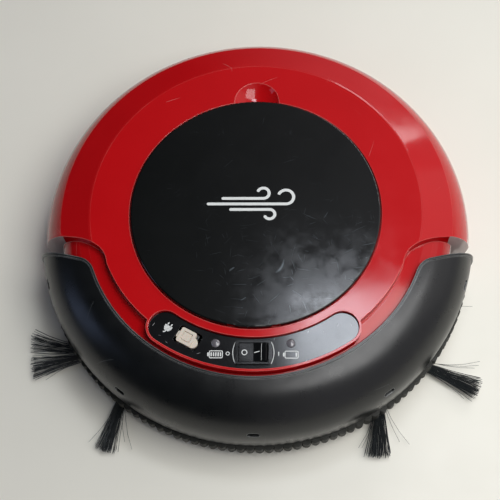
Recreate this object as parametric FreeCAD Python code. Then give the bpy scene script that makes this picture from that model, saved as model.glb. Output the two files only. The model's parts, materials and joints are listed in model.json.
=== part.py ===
import FreeCAD, Part
import math
import os
from FreeCAD import Vector as V

# Robot vacuum: two side brushes, two sprung drive wheels, a sprung front bumper and a
# dust bin under a round lid. Millimetres, +Z up, origin on the floor under the middle
# of the round body, front of the robot towards -Y.

# ---- driving dimensions ----
FLOOR_GAP = 9.0            # underside of the chassis above the floor
PLATE_TOP = 12.0           # upper face of the chassis base plate
PAD_Z = 8.5                # flat pad under the chassis, where a stand carries the robot
PLATE_R = 128.0            # chassis base plate
TUB_R = 121.2              # chassis wall, inside the shell's skirt
TUB_TOP = 30.0
WALL = 2.4                 # moulded wall of the shell and the bumper
SKIRT_Z = 16.0             # lower edge of the shell
SHELL_R = 136.0            # widest radius of the shell
SHELL_WIDE_Z = 38.0        # height of the widest radius
TOP_Z = 70.0               # flat top of the shell
CREASE_R = 103.5           # edge where the flat top turns into the sloping band
SHOULDER_R = 122.5         # edge where the sloping band turns down into the side
SHOULDER_Z = 62.2
LEDGE_DROP = 6.4           # the ledge in front of the shell's step lies this much lower
STEP_R = 97.5              # front edge of the raised top
BUMPER_R = 138.4           # widest radius of the bumper
STRIP_R = 140.0            # tips of the ribs on the rubber strip
RIB_PITCH = 5.9
RIB_HALF_SPAN = 80.0       # ribs reach this many degrees either side of the front

LID_Y = -2.6               # the lid's centre lies a little ahead of the body's
LID_R = 77.2
LID_TOP = 71.8
LID_UNDER = 69.0
RECESS_R = 78.0
OPENING_R = 72.5
SEAT_Z = 67.6
HINGE_Y = -76.5
HINGE_Z = 70.4
HINGE_PIN_R = 0.6
EAR_R = 1.0

PANEL_IN = 82.7            # panel strip, radii about the lid's centre
PANEL_OUT = 102.0
PANEL_HALF_ANGLE = 34.5
PANEL_TOP = 68.0
PANEL_T = 1.8
LED_X = 21.9
LED_Y = -88.5
LED_R = 2.5
ROCKER_X = 0.2
ROCKER_Y = -94.2
ROCKER_W = 17.6
ROCKER_D = 11.6
ROCKER_TILT = 16.0
ROCKER_PIVOT_Z = 66.6
SOCKET_X = -38.7
SOCKET_Y = -85.3
SOCKET_TURN = -28.0

BRUSH_X = 74.5
BRUSH_Y = -68.0
BRUSH_REACH = 70.5
TUFTS = 6
LEFT_TUFT_PHASE = 13.5
RIGHT_TUFT_PHASE = 36.4
HUB_R = 9.5

WHEEL_X = 97.0
WHEEL_Y = 27.0
WHEEL_R = 27.0
WHEEL_W = 14.0
ARM_Y = -4.0               # pivot of the swing arm
ARM_Z = 24.0
GEAR_MODULE = 0.6
GEAR_TEETH = 48
PINION_TEETH = 12

CASTER_Y = -108.0
CASTER_TRAIL = 3.5
CASTER_R = 8.0
CASTER_W = 9.6

BIN_X = 42.6
BIN_FRONT = -50.6
BIN_REAR = 33.0
BIN_FLOOR = 13.0
BIN_TOP = 60.0
INLET_Y = -13.0
INLET_X = 40.0
INLET_D = 12.0
FAN_Z = 36.0
CELL_R = 7.1
CELL_LENGTH = 50.0
SCREW_CIRCLE = 108.0
SCREW_ANGLES = (50, 130, 198, 238, 302, 342)
WINDOW_ANGLES = (18, 54, 90, 126, 162)
WINDOW_Z = 44.0
WINDOW_R = 133.0           # the windows' back faces
RUN = 0.06                 # radial clearance of a shaft in its bore

os.makedirs("parts", exist_ok=True)
X_AXIS = V(1, 0, 0)
Y_AXIS = V(0, 1, 0)
Z_AXIS = V(0, 0, 1)
ORIGIN = V(0, 0, 0)


# ---- small helpers ----
def save(name, shape):
    shape.exportStep("parts/" + name + ".step")


def both(name, left):
    """One node at the left (-X) side and its mirror image at the right."""
    save("left_" + name, left)
    save("right_" + name, left.mirror(ORIGIN, X_AXIS))


def cyl(r, z0, z1, x=0.0, y=0.0):
    return Part.makeCylinder(r, z1 - z0, V(x, y, z0))


def cyl_x(r, x0, x1, y, z):
    return Part.makeCylinder(r, x1 - x0, V(x0, y, z), X_AXIS)


def cyl_y(r, y0, y1, x, z):
    return Part.makeCylinder(r, y1 - y0, V(x, y0, z), Y_AXIS)


def box(x0, x1, y0, y1, z0, z1):
    return Part.makeBox(x1 - x0, y1 - y0, z1 - z0, V(x0, y0, z0))


def rounded_box(x0, x1, y0, y1, z0, z1, r):
    shape = box(x0, x1, y0, y1, z0, z1)
    upright = [e for e in shape.Edges if abs(e.tangentAt(e.FirstParameter).z) > 0.99]
    return shape.makeFillet(r, upright)


def line(a, b):
    return Part.LineSegment(V(*a), V(*b)).toShape()


def arc(a, mid, b):
    return Part.Arc(V(*a), V(*mid), V(*b)).toShape()


def profile_edges(steps):
    """Edges in the XZ plane from steps: (r, z), or (r, z, mid_r, mid_z) for an arc."""
    edges = []
    last = None
    for step in steps:
        point = (step[0], 0, step[1])
        if last is not None:
            if len(step) == 4:
                edges.append(arc(last, (step[2], 0, step[3]), point))
            else:
                edges.append(line(last, point))
        last = point
    edges.append(line(last, (steps[0][0], 0, steps[0][1])))
    return edges


def turned(steps, y=0.0):
    """Solid of revolution about the vertical axis through (0, y)."""
    face = Part.Face(Part.Wire(profile_edges(steps)))
    solid = face.revolve(ORIGIN, Z_AXIS, 360)
    solid.translate(V(0, y, 0))
    return solid


def prism(edges, z0, z1, offset=0.0):
    """Upright prism over a closed outline drawn at z = 0, grown or shrunk by offset."""
    face = Part.Face(Part.Wire(Part.__sortEdges__(edges)))
    if offset:
        face = face.makeOffset2D(offset)
    face = face.copy()
    face.translate(V(0, 0, z0))
    return face.extrude(V(0, 0, z1 - z0))


def fused(shapes):
    return shapes[0].multiFuse(shapes[1:]).removeSplitter()


def group(shapes):
    return Part.makeCompound(shapes)


def turn(shape, degrees, centre=ORIGIN, axis=Z_AXIS):
    shape = shape.copy()
    shape.rotate(centre, axis, degrees)
    return shape


def polar(r, degrees, z=0.0):
    a = math.radians(degrees)
    return V(r * math.cos(a), r * math.sin(a), z)


# ---- plan outlines ----
def mirrored_outline(steps, corner_y):
    """Closed outline from its +X half: (x, y) corners, or (x, y, mid_x, mid_y) arcs."""
    edges = []
    for flip in (1, -1):
        last = None
        for step in steps:
            point = (flip * step[0], step[1], 0)
            if last is not None:
                if len(step) == 4:
                    edges.append(arc(last, (flip * step[2], step[3], 0), point))
                else:
                    edges.append(line(last, point))
            last = point
        edges.append(line(last, (last[0], corner_y, 0)))
    far = steps[-1][0]
    edges.append(line((far, corner_y, 0), (-far, corner_y, 0)))
    return edges


def raised_top_outline():
    """The raised top: front arc, then an S out to the shell's end faces."""
    end = polar(STEP_R, -23.3)
    steps = [(end.x, end.y), (97.2, -26.2, 92.0, -31.4), (112, -19.6, 104.4, -22.2),
             (150, -10.7)]
    front = arc((end.x, end.y, 0), (0, -STEP_R, 0), (-end.x, end.y, 0))
    return mirrored_outline(steps, 160) + [front]


def bumper_outline():
    """The bumper: inner arc, then an S out to its two ends."""
    steps = [(97.9, -41.4), (105.8, -33.6, 100.9, -36.7), (150, -15.6, 126, -26.7)]
    front = arc((97.9, -41.4, 0), (0, LID_Y - 105.3, 0), (-97.9, -41.4, 0))
    return mirrored_outline(steps, -160) + [front]


def panel_point(r, degrees):
    a = math.radians(degrees)
    return (r * math.sin(a), LID_Y - r * math.cos(a), 0)


def panel_outline(grow=0.0):
    """Curved strip with round ends, about the lid's centre."""
    inner = PANEL_IN - grow
    outer = PANEL_OUT + grow
    half = PANEL_HALF_ANGLE
    middle = (inner + outer) / 2
    end = math.degrees((outer - inner) / 2 / middle)
    return [arc(panel_point(inner, -half), panel_point(inner, 0), panel_point(inner, half)),
            arc(panel_point(inner, half), panel_point(middle, half + end),
                panel_point(outer, half)),
            arc(panel_point(outer, half), panel_point(outer, 0), panel_point(outer, -half)),
            arc(panel_point(outer, -half), panel_point(middle, -half - end),
                panel_point(inner, -half))]


# ---- shell ----
def dome(inset):
    """Outer body of the raised shell, or its inside when inset is the wall."""
    low = SKIRT_Z - (10 if inset else 0)
    top = TOP_Z - inset
    return turned([(0, low), (129.5 - inset, low), (130.5 - inset, 19),
                   (SHELL_R - inset, SHELL_WIDE_Z, 134.4 - inset, 28),
                   (SHOULDER_R - inset * 0.7, SHOULDER_Z - inset * 0.8,
                    131.0 - inset * 0.9, 51.8 - inset * 0.55),
                   (CREASE_R - inset * 0.2, top - 0.25), (CREASE_R - 1 - inset * 0.2, top),
                   (0, top)])


def ledge_body(inset):
    """Lower body ahead of the step, under the bumper's inner edge."""
    low = SKIRT_Z - (10 if inset else 0)
    top = TOP_Z - LEDGE_DROP - inset
    return turned([(0, low), (124 - inset, low), (124 - inset, 46 - inset * 0.3),
                   (111.5 - inset * 0.4, top - 2.7, 119.4 - inset * 0.7, 54.9 - inset * 0.7),
                   (106 - inset * 0.3, top - 1.0), (99, top), (0, top)])


def screw_places():
    return [polar(SCREW_CIRCLE, a) for a in SCREW_ANGLES]


def make_top_shell():
    raised = prism(raised_top_outline(), 0, 90)
    hollow = prism(raised_top_outline(), 0, 90, -WALL)
    outer = dome(0).common(raised).fuse(ledge_body(0).cut(raised))
    inside = dome(WALL).common(hollow).fuse(ledge_body(WALL).cut(hollow))
    shell = outer.cut(inside)
    seat = cyl(RECESS_R + 2.5, SEAT_Z - 2.6, SEAT_Z + 0.2, 0, LID_Y)
    panel_boss = prism(panel_outline(1.4), 63.4, TOP_Z)
    scoop = V(0, 75.2, 84.3)
    scoop_r = 20.3
    cup = Part.makeSphere(scoop_r + 2.2, scoop).common(box(-30, 30, 40, 100, 55, TOP_Z - 0.1))
    posts = [cyl(4, 40.2, 90, p.x, p.y).common(outer) for p in screw_places()]
    shell = fused([shell, seat, panel_boss, cup] + posts)
    cuts = [cyl(RECESS_R, SEAT_Z, 90, 0, LID_Y), cyl(OPENING_R, 50, 90, 0, LID_Y),
            Part.makeSphere(scoop_r, scoop),
            prism(panel_outline(), PANEL_TOP - PANEL_T - 0.1, 90),
            prism(panel_outline(-3), 50, 90),
            box(ROCKER_X - 9.7, ROCKER_X + 9.7, ROCKER_Y - 6.7, ROCKER_Y + 6.7, 50, 68),
            box(-26, 26, -81.1, -74, SEAT_Z - 1.4, 69.4)]
    cuts += [cyl(1.25, 40, 56, p.x, p.y) for p in screw_places()]
    cuts += [cyl_y(1.3, -126, -110, x, 22) for x in (-34, 34)]
    for cutter in cuts:
        shell = shell.cut(cutter)
    ears = []
    for side in (-1, 1):
        x0, x1 = sorted((side * 11.0, side * 15.5))
        ear = box(x0, x1, HINGE_Y - EAR_R, HINGE_Y + EAR_R, SEAT_Z - 2.6, HINGE_Z)
        round_top = cyl_x(EAR_R, x0, x1, HINGE_Y, HINGE_Z)
        ears.append(ear.fuse(round_top))
    shell = fused([shell] + ears)
    shell = shell.cut(cyl_x(HINGE_PIN_R, -15.5, 15.5, HINGE_Y, HINGE_Z))
    save("top_shell", shell)


# ---- chassis ----
def make_chassis():
    plate = turned([(0, FLOOR_GAP), (PLATE_R - 3, FLOOR_GAP), (PLATE_R, PLATE_TOP),
                    (PLATE_R, PLATE_TOP + 2.5), (PLATE_R - 2, PLATE_TOP + 2.5),
                    (PLATE_R - 2, PLATE_TOP), (0, PLATE_TOP)])
    tub = cyl(TUB_R, PLATE_TOP, TUB_TOP).cut(cyl(TUB_R - 2, PLATE_TOP, TUB_TOP))
    bay_out = rounded_box(-45.8, 45.8, -53.6, 44.6, PLATE_TOP, 56, 8)
    bay_in = rounded_box(-44.2, 44.2, -52.0, 43.0, PLATE_TOP, 56, 6.4)
    bay = bay_out.cut(bay_in).cut(cyl_y(12, 40, 50, 0, FAN_Z))
    rest_pad = rounded_box(-30, 30, 46, 56, PAD_Z, PLATE_TOP, 3)
    solids = [plate, tub, bay, rest_pad]
    holes = [rounded_box(-INLET_X, INLET_X, INLET_Y - INLET_D / 2, INLET_Y + INLET_D / 2,
                         5, 20, 3),
             rounded_box(-31, 31, 83, 118, 5, 13, 3),
             box(-43.1, 43.1, -4.7, 2.1, 5, FLOOR_GAP + 1.6)]
    for side in (-1, 1):
        well = sorted((side * 65.6, side * 106))
        holes.append(rounded_box(well[0], well[1], -10, 57, 5, 13, 4))
        for x in (61.8, 85.2):
            post = sorted((side * x, side * (x + 3.2)))
            foot = box(post[0], post[1], -16, 1, PLATE_TOP - 2, ARM_Z + 5)
            if x > 80:
                bridge = box(post[0], post[1], -16, -9, FLOOR_GAP, PLATE_TOP)
                foot = foot.fuse(bridge)
            solids.append(foot)
            holes.append(cyl_x(2.0, post[0], post[1], ARM_Y, ARM_Z))
        solids.append(cyl(6, PLATE_TOP, 15.6, side * BRUSH_X, BRUSH_Y))
        holes.append(cyl(2.5 + RUN, 5, 20, side * BRUSH_X, BRUSH_Y))
        holes.append(cyl_y(1.3, -126, -110, side * 34, 22))
        for angle in (32, 70):
            place = polar(114, -90 + side * (90 - angle))
            window = turn(box(-5.2, 5.2, -3.2, 3.2, 5, 10.6), side * (90 - angle))
            window.translate(place)
            holes.append(window)
    solids.append(cyl(16, PLATE_TOP, 20.5, 0, CASTER_Y).common(cyl(TUB_R - 1, 5, 40)))
    solids.append(cyl(7, PLATE_TOP, 33, 0, CASTER_Y))
    holes.append(cyl(13.6, 5, 18.2, 0, CASTER_Y))
    holes.append(cyl(4 + RUN, 5, 34, 0, CASTER_Y))
    for place in screw_places():
        solids.append(cyl(4, PLATE_TOP, 40, place.x, place.y))
        holes.append(cyl(1.6, 5, 42, place.x, place.y))
        holes.append(cyl(3.2, 5, 11.4, place.x, place.y))
    for x in (-16, -8, 0, 8, 16):
        holes.append(rounded_box(x - 1.6, x + 1.6, 58, 77, 5, 14, 1.5))
    chassis = fused(solids)
    for hole in holes:
        chassis = chassis.cut(hole)
    save("chassis", chassis)


def make_chassis_details():
    cover = rounded_box(-30.6, 30.6, 83.4, 117.6, FLOOR_GAP + 0.2, 11.8, 2.6)
    cover = cover.cut(rounded_box(-8, 8, 85, 88, 5, FLOOR_GAP + 1.2, 1))
    save("battery_cover", cover)
    cells = []
    for y in (93.0, 107.4):
        for z in (20.0, 34.4):
            body = cyl_x(CELL_R, -CELL_LENGTH / 2, CELL_LENGTH / 2 - 1.5, y, z)
            button = cyl_x(2.4, CELL_LENGTH / 2 - 1.5, CELL_LENGTH / 2, y, z)
            cells.append(body.fuse(button))
    save("battery_cells", group(cells))
    screws = []
    for place in screw_places():
        head = cyl(2.9, 9.7, 11.3, place.x, place.y)
        shank = cyl(1.2, 11.3, 52, place.x, place.y)
        slot = box(place.x - 2, place.x + 2, place.y - 0.4, place.y + 0.4, 9.7, 10.5)
        cross = box(place.x - 0.4, place.x + 0.4, place.y - 2, place.y + 2, 9.7, 10.5)
        screws.append(head.fuse(shank).cut(slot).cut(cross))
    save("chassis_screws", group(screws))
    windows = []
    for side in (-1, 1):
        for angle in (32, 70):
            window = turn(box(-5, 5, -3, 3, FLOOR_GAP + 0.3, 10.5), side * (90 - angle))
            window.translate(polar(114, -90 + side * (90 - angle)))
            windows.append(window)
    save("cliff_sensor_windows", group(windows))
    blade = box(-43, 43, -2.2, -0.4, 3.4, FLOOR_GAP)
    foot = box(-43, 43, -4.6, 2.0, FLOOR_GAP, FLOOR_GAP + 1.6)
    save("inlet_squeegee", blade.fuse(foot))


# ---- dust bin, filter and fan ----
def make_bin():
    outer = rounded_box(-BIN_X, BIN_X, BIN_FRONT, BIN_REAR, BIN_FLOOR, BIN_TOP, 7)
    inner = rounded_box(-BIN_X + 1.8, BIN_X - 1.8, BIN_FRONT + 1.8, BIN_REAR - 1.8,
                        BIN_FLOOR + 1.8, BIN_TOP + 1, 5.4)
    body = outer.cut(inner)
    y0 = INLET_Y - INLET_D / 2
    y1 = INLET_Y + INLET_D / 2
    chimney = box(-INLET_X - 1, INLET_X + 1, y0 - 1.4, y1 + 1.4, BIN_FLOOR, 34)
    body = body.fuse(chimney.common(outer))
    body = body.cut(box(-INLET_X, INLET_X, y0, y1, 5, 40))
    body = body.cut(box(-30, 30, BIN_REAR - 5, BIN_REAR + 5, 22, 52))
    save("dust_bin", body.removeSplitter())
    cover = rounded_box(-BIN_X, BIN_X, BIN_FRONT, BIN_REAR, BIN_TOP + 0.1, 62.2, 7)
    lip = rounded_box(-BIN_X + 2.1, BIN_X - 2.1, BIN_FRONT + 2.1, BIN_REAR - 2.1,
                      56, BIN_TOP + 0.1, 5)
    lip = lip.cut(rounded_box(-BIN_X + 3.9, BIN_X - 3.9, BIN_FRONT + 3.9, BIN_REAR - 3.9,
                              55, BIN_TOP + 0.1, 3.4))
    grip = rounded_box(-22, 22, -12, -8.4, 62, 67.4, 1.6)
    save("bin_cover", fused([cover, lip, grip]))
    frame = box(-34, 34, BIN_REAR + 0.2, 41.0, 18, 56)
    frame = frame.cut(box(-30, 30, BIN_REAR - 1, 39.6, 22, 52))
    frame = frame.cut(box(-27, 27, 39, 42, 25, 49))
    save("filter_frame", frame)
    pleats = []
    count = 14
    pitch = 58.0 / count
    for i in range(count):
        x = -29.0 + i * pitch
        points = [(x, 34.6, 23), (x + pitch / 2, 38.8, 23), (x + pitch, 34.6, 23),
                  (x + pitch, 35.6, 23), (x + pitch / 2, 39.5, 23), (x, 35.6, 23)]
        outline = [line(points[k], points[(k + 1) % 6]) for k in range(6)]
        pleats.append(Part.Face(Part.Wire(outline)).extrude(V(0, 0, 28)))
    save("filter_pleats", fused(pleats))


def make_fan():
    housing = rounded_box(-26, 26, 45.0, 82, 13, 58, 4)
    housing = housing.cut(cyl_y(20.5, 46.8, 60.0, 0, FAN_Z))
    housing = housing.cut(cyl_y(11.5, 44, 50, 0, FAN_Z))
    housing = housing.cut(cyl_y(12.4, 58, 83, 0, FAN_Z))
    housing = housing.cut(box(-20.5, 20.5, 47.0, 58.5, 12, FAN_Z - 6))
    save("fan_housing", housing)
    motor = cyl_y(12.2, 61.0, 80.0, 0, FAN_Z).fuse(cyl_y(3.2, 80.0, 82.5, 0, FAN_Z))
    save("fan_motor", motor.cut(cyl_y(1.0 + RUN, 60, 72, 0, FAN_Z)))
    disc = cyl_y(19.4, 56.8, 58.2, 0, FAN_Z)
    hub = cyl_y(4.5, 49.5, 59.4, 0, FAN_Z)
    shaft = cyl_y(1.0, 59.0, 71.0, 0, FAN_Z)
    blades = []
    for i in range(9):
        blade = box(4.0, 19.0, 49.8, 57.0, FAN_Z - 0.6, FAN_Z + 0.6)
        blades.append(turn(blade, i * 40, V(0, 0, FAN_Z), Y_AXIS))
    save("fan_impeller", fused([disc, hub, shaft] + blades))


# ---- panel, switch, lamps and charging socket ----
def turned_block(x0, x1, y0, y1, z0, z1, r):
    """Rounded block drawn about the socket's centre and turned with it."""
    block = turn(rounded_box(x0, x1, y0, y1, z0, z1, r), SOCKET_TURN)
    block.translate(V(SOCKET_X, SOCKET_Y, 0))
    return block


def make_panel():
    under = PANEL_TOP - PANEL_T
    panel = prism(panel_outline(-0.25), under, PANEL_TOP)
    panel = panel.cut(box(ROCKER_X - 9.6, ROCKER_X + 9.6, ROCKER_Y - 6.6, ROCKER_Y + 6.6,
                          60, 70))
    panel = panel.cut(turned_block(-7.1, 7.9, -5.4, 5.4, 60, 70, 1.6))
    for x in (-LED_X, LED_X):
        panel = panel.cut(cyl(LED_R + 0.1, 60, 70, x, LED_Y))
    save("control_panel", panel)
    lenses = []
    for x in (-LED_X, LED_X):
        ball = Part.makeSphere(4.4, V(x, LED_Y, PANEL_TOP + 0.7 - 4.4))
        flange = cyl(LED_R + 0.3, under - 1.2, under - 0.1, x, LED_Y)
        lenses.append(cyl(LED_R, under - 0.5, 70, x, LED_Y).common(ball).fuse(flange))
    save("led_lenses", group(lenses))


def make_switch():
    half_w = ROCKER_W / 2
    half_d = ROCKER_D / 2
    x, y = ROCKER_X, ROCKER_Y
    flange = rounded_box(x - 10.5, x + 10.5, y - 7.2, y + 7.2, PANEL_TOP, PANEL_TOP + 1.1, 1.2)
    body = box(x - 9.5, x + 9.5, y - 6.5, y + 6.5, 52, PANEL_TOP)
    housing = flange.fuse(body)
    housing = housing.cut(box(x - half_w, x + half_w, y - half_d, y + half_d, 57, 72))
    tabs = [box(x + dx - 0.4, x + dx + 0.4, y - 2.4, y + 2.4, 45, 52) for dx in (-4, 4)]
    stub = [cyl_y(1.0, y - 6.5, y - half_d + 0.9, x, ROCKER_PIVOT_Z),
            cyl_y(1.0, y + half_d - 0.9, y + 6.5, x, ROCKER_PIVOT_Z)]
    save("rocker_housing", fused([housing] + tabs + stub))
    rise = math.tan(math.radians(ROCKER_TILT)) * half_w
    face_z = ROCKER_PIVOT_Z + 1.9
    points = [(x - half_w, face_z), (x, face_z), (x + half_w, face_z + rise),
              (x + half_w, face_z - 1.2), (x + 3, ROCKER_PIVOT_Z - 3),
              (x - 3, ROCKER_PIVOT_Z - 3), (x - half_w, face_z - 3.6)]
    points = [(px, y - half_d + 0.25, pz) for px, pz in points]
    outline = [line(points[k], points[(k + 1) % 7]) for k in range(7)]
    paddle = Part.Face(Part.Wire(outline)).extrude(V(0, ROCKER_D - 0.5, 0))
    ends = cyl_y(half_w - 0.25, y - 8, y + 8, x, ROCKER_PIVOT_Z)
    bores = cyl_y(1.0 + RUN, y - half_d, y - half_d + 1.3, x, ROCKER_PIVOT_Z)
    bores = bores.fuse(cyl_y(1.0 + RUN, y + half_d - 1.3, y + half_d, x, ROCKER_PIVOT_Z))
    save("rocker_paddle", paddle.common(ends).cut(bores))


def make_socket():
    jack = turned_block(-5.5, 5.5, -4.8, 4.8, 50, 65.6, 0.8)
    jack = jack.cut(cyl(2.9, 55, 66, SOCKET_X, SOCKET_Y))
    save("charging_socket", jack.cut(cyl(1.0, 52, 55, SOCKET_X, SOCKET_Y)))
    save("charging_pin", cyl(1.0, 52, 64.4, SOCKET_X, SOCKET_Y))
    head = turned_block(-5.4, 4.4, -4.6, 4.6, 65.9, 69.0, 1.2)
    nose = cyl(3.2, 65.9, 68.4, 4.2, -1.4).fuse(box(-6.6, -5.0, -2.2, 1.6, 65.9, 68.2))
    nose = turn(nose, SOCKET_TURN)
    nose.translate(V(SOCKET_X, SOCKET_Y, 0))
    window = turned_block(-3.4, 2.6, -2.9, 2.9, 68.3, 70, 0.6)
    core = turned_block(-2.8, 2.0, -2.3, 2.3, 68.2, 68.8, 0.5)
    stem = cyl(2.3, 58, 66, SOCKET_X, SOCKET_Y).cut(cyl(1.3, 57, 65, SOCKET_X, SOCKET_Y))
    save("socket_dust_plug", fused([fused([head, nose]).cut(window), core, stem]))


def make_board():
    board = box(-45, 45, -107, -87, 40, 41.6)
    chips = [box(-10, 4, -101, -91, 41.6, 43.2), box(14, 22, -98, -92, 41.6, 43.0),
             box(-34, -26, -104, -96, 41.6, 46), cyl(3, 41.6, 49, 34, -97)]
    save("main_board", fused([board] + chips))
    switches = []
    springs = []
    for side in (-1, 1):
        case = box(side * 34 - 6, side * 34 + 6, -112, -106, 19, 26)
        plunger = cyl_y(1.0, -125.0, -112, side * 34, 22)
        switches.append(case.fuse(plunger))
        coil = []
        for i in range(4):
            ring = Part.makeTorus(2.6, 0.6, V(side * 62, -110.6 - 1.3 * i, 22), Y_AXIS)
            coil.append(ring)
        springs += coil
    save("bumper_switches", group(switches))
    core = [cyl_y(2.7, -115.2, -109.9, side * 62, 22).cut(cyl_y(2.0, -116, -109, side * 62, 22))
            for side in (-1, 1)]
    save("bumper_springs", fused(springs + core))


# ---- lid ----
def make_lid():
    lid = turned([(0, LID_UNDER), (LID_R - 0.4, LID_UNDER), (LID_R, LID_UNDER + 0.4),
                  (LID_R, LID_TOP - 1.0), (LID_R - 1.0, LID_TOP, LID_R - 0.3, LID_TOP - 0.3),
                  (0, LID_TOP)], LID_Y)
    rim = turned([(69.6, 62.5), (71.4, 62.5), (71.4, LID_UNDER), (69.6, LID_UNDER)], LID_Y)
    lid = fused([lid, rim])
    for side in (-1, 1):
        x0, x1 = sorted((side * 10.6, side * 16.2))
        lid = lid.cut(box(x0, x1, -81, HINGE_Y + 2.2, 60, HINGE_Z + EAR_R + 0.1))
    lid = lid.cut(cyl_x(HINGE_PIN_R + RUN, -16, 16, HINGE_Y, HINGE_Z))
    save("lid", lid)
    save("lid_hinge_pin", cyl_x(HINGE_PIN_R, -15.5, 15.5, HINGE_Y, HINGE_Z))


# ---- bumper ----
def bumper_body(proud, thick):
    """Rolled section from the strip up and over to the inner edge."""
    out = [(137.2, 17.2), (BUMPER_R, 30, 138.1, 23), (104, 66.0, 130.2, 55.6), (94, 66.3)]
    outer = [(s[0] + proud, s[1] + (proud if s[1] > 40 else 0)) if len(s) == 2 else
             (s[0] + proud, s[1] + (proud if s[1] > 40 else 0), s[2] + proud * 0.8,
              s[3] + (proud * 0.6 if s[3] > 40 else 0)) for s in out]
    inner = [(94, 66.3 - thick), (103.6, 66.0 - thick)]
    back = [(BUMPER_R - thick, 30, 130.2 - 0.75 * thick, 55.6 - 0.66 * thick),
            (137.2 - thick, 17.2, 138.1 - thick, 23)]
    return turned(outer + inner + back)


def window_block(angle, width, height, r0, r1):
    block = Part.makeBox(r1 - r0, width, height, V(r0, -width / 2, WINDOW_Z - height / 2))
    along = [e for e in block.Edges if abs(e.tangentAt(e.FirstParameter).x) > 0.99]
    return turn(block.makeFillet(height * 0.49, along), -angle)


def make_bumper():
    body = bumper_body(0, WALL).common(prism(bumper_outline(), 0, 90))
    band = prism(bumper_outline(), 0, 90).cut(prism(bumper_outline(), 0, 90, -1.5))
    bead = bumper_body(0.9, 1.2).common(band)
    ties = [box(side * 34 - 3, side * 34 + 3, -131.9, -127.4, 18, 26) for side in (-1, 1)]
    bumper = fused([body, bead] + ties)
    for angle in WINDOW_ANGLES:
        bumper = bumper.cut(window_block(angle, 7.4, 3.4, WINDOW_R + 0.6, 145))
    save("bumper", bumper)
    lenses = [window_block(a, 7.0, 3.0, WINDOW_R, WINDOW_R + 1.6) for a in WINDOW_ANGLES]
    save("bumper_sensor_windows", group(lenses))
    make_strip()


def make_strip():
    """Rubber strip under the bumper, its outside a row of half-round upright ribs."""
    pitch = math.degrees(RIB_PITCH / STRIP_R)
    count = int(2 * RIB_HALF_SPAN / pitch)
    start = -90 - count * pitch / 2
    valley = STRIP_R - 2.2
    edges = []
    for i in range(count):
        a = start + i * pitch
        edges.append(arc(polar(valley, a), polar(STRIP_R, a + pitch / 2),
                         polar(valley, a + pitch)))
    end = start + count * pitch
    back = 134.8
    edges.append(line(polar(valley, end), polar(back, end)))
    edges.append(arc(polar(back, end), polar(back, -90), polar(back, start)))
    edges.append(line(polar(back, start), polar(valley, start)))
    save("bumper_strip", prism(edges, FLOOR_GAP + 0.4, 17.1))


# ---- drive modules (drawn at the left side) ----
def gear(teeth, x0, x1, y, z, bore, phase):
    """Spur gear about an X axis; teeth are straight-sided and thinned for backlash."""
    pitch_r = GEAR_MODULE * teeth / 2
    root = pitch_r - 1.2 * GEAR_MODULE
    tip = pitch_r + 0.85 * GEAR_MODULE
    step = 2 * math.pi / teeth
    points = []
    for i in range(teeth):
        a = math.radians(phase) + i * step
        for r, part in ((root, -0.27), (tip, -0.10), (tip, 0.10), (root, 0.27)):
            b = a + part * step
            points.append((x0, y + r * math.cos(b), z + r * math.sin(b)))
    outline = Part.makePolygon([V(*p) for p in points + points[:1]])
    blank = Part.Face(outline).extrude(V(x1 - x0, 0, 0))
    return blank.cut(cyl_x(bore, x0 - 1, x1 + 1, y, z))


def make_drive():
    pinion_y = WHEEL_Y - GEAR_MODULE * (GEAR_TEETH + PINION_TEETH) / 2
    z = WHEEL_R
    case = rounded_box_x(-84, -68, ARM_Y - 5, WHEEL_Y + 18, 10.6, 44.6, 8)
    room = rounded_box_x(-82.4, -67, ARM_Y + 6, WHEEL_Y + 16.4, 12.0, 43.2, 6)
    case = case.cut(room)
    case = case.cut(cyl_x(2.0 + RUN, -90, -60, ARM_Y, ARM_Z))
    case = case.cut(cyl_x(3.0 + RUN, -90, -80, WHEEL_Y, z))
    both("gear_case", case)
    cover = rounded_box_x(-67.9, -66.3, ARM_Y + 5, WHEEL_Y + 18, 10.8, 44.4, 8)
    cover = cover.cut(cyl_x(2.2, -70, -60, pinion_y, z))
    cover = cover.cut(cyl_x(3.0 + RUN, -70, -60, WHEEL_Y, z))
    both("gear_case_cover", cover)
    can = cyl_x(8, -66.2, -48, pinion_y, z)
    can = can.cut(cyl_x(1.0 + RUN, -70, -56, pinion_y, z))
    both("drive_motor", can.fuse(cyl_x(2.5, -48, -46.8, pinion_y, z)))
    pinion = gear(PINION_TEETH, -79.6, -72.4, pinion_y, z, 0.9, 0)
    pinion = pinion.fuse(cyl_x(1.0, -80.5, -57, pinion_y, z))
    both("motor_pinion", pinion)
    wheel_gear = gear(GEAR_TEETH, -79, -73, WHEEL_Y, z, 3.0, 180 + 180.0 / GEAR_TEETH)
    both("output_gear", wheel_gear)
    axle = cyl_x(3.0, -99, -64.8, WHEEL_Y, z)
    both("wheel_axle", axle)
    make_wheel(z)
    pins = []
    springs = []
    for side in (-1, 1):
        x0, x1 = sorted((side * 61.8, side * 88.4))
        pins.append(cyl_x(2.0, x0, x1, ARM_Y, ARM_Z))
        for i in range(2):
            place = V(side * (65.7 + 1.05 * i), ARM_Y, ARM_Z)
            springs.append(Part.makeTorus(2.9, 0.5, place, X_AXIS))
    save("suspension_pins", group(pins))
    save("suspension_springs", group(springs))


def rounded_box_x(x0, x1, y0, y1, z0, z1, r):
    shape = box(x0, x1, y0, y1, z0, z1)
    along = [e for e in shape.Edges if abs(e.tangentAt(e.FirstParameter).x) > 0.99]
    return shape.makeFillet(r, along)


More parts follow.
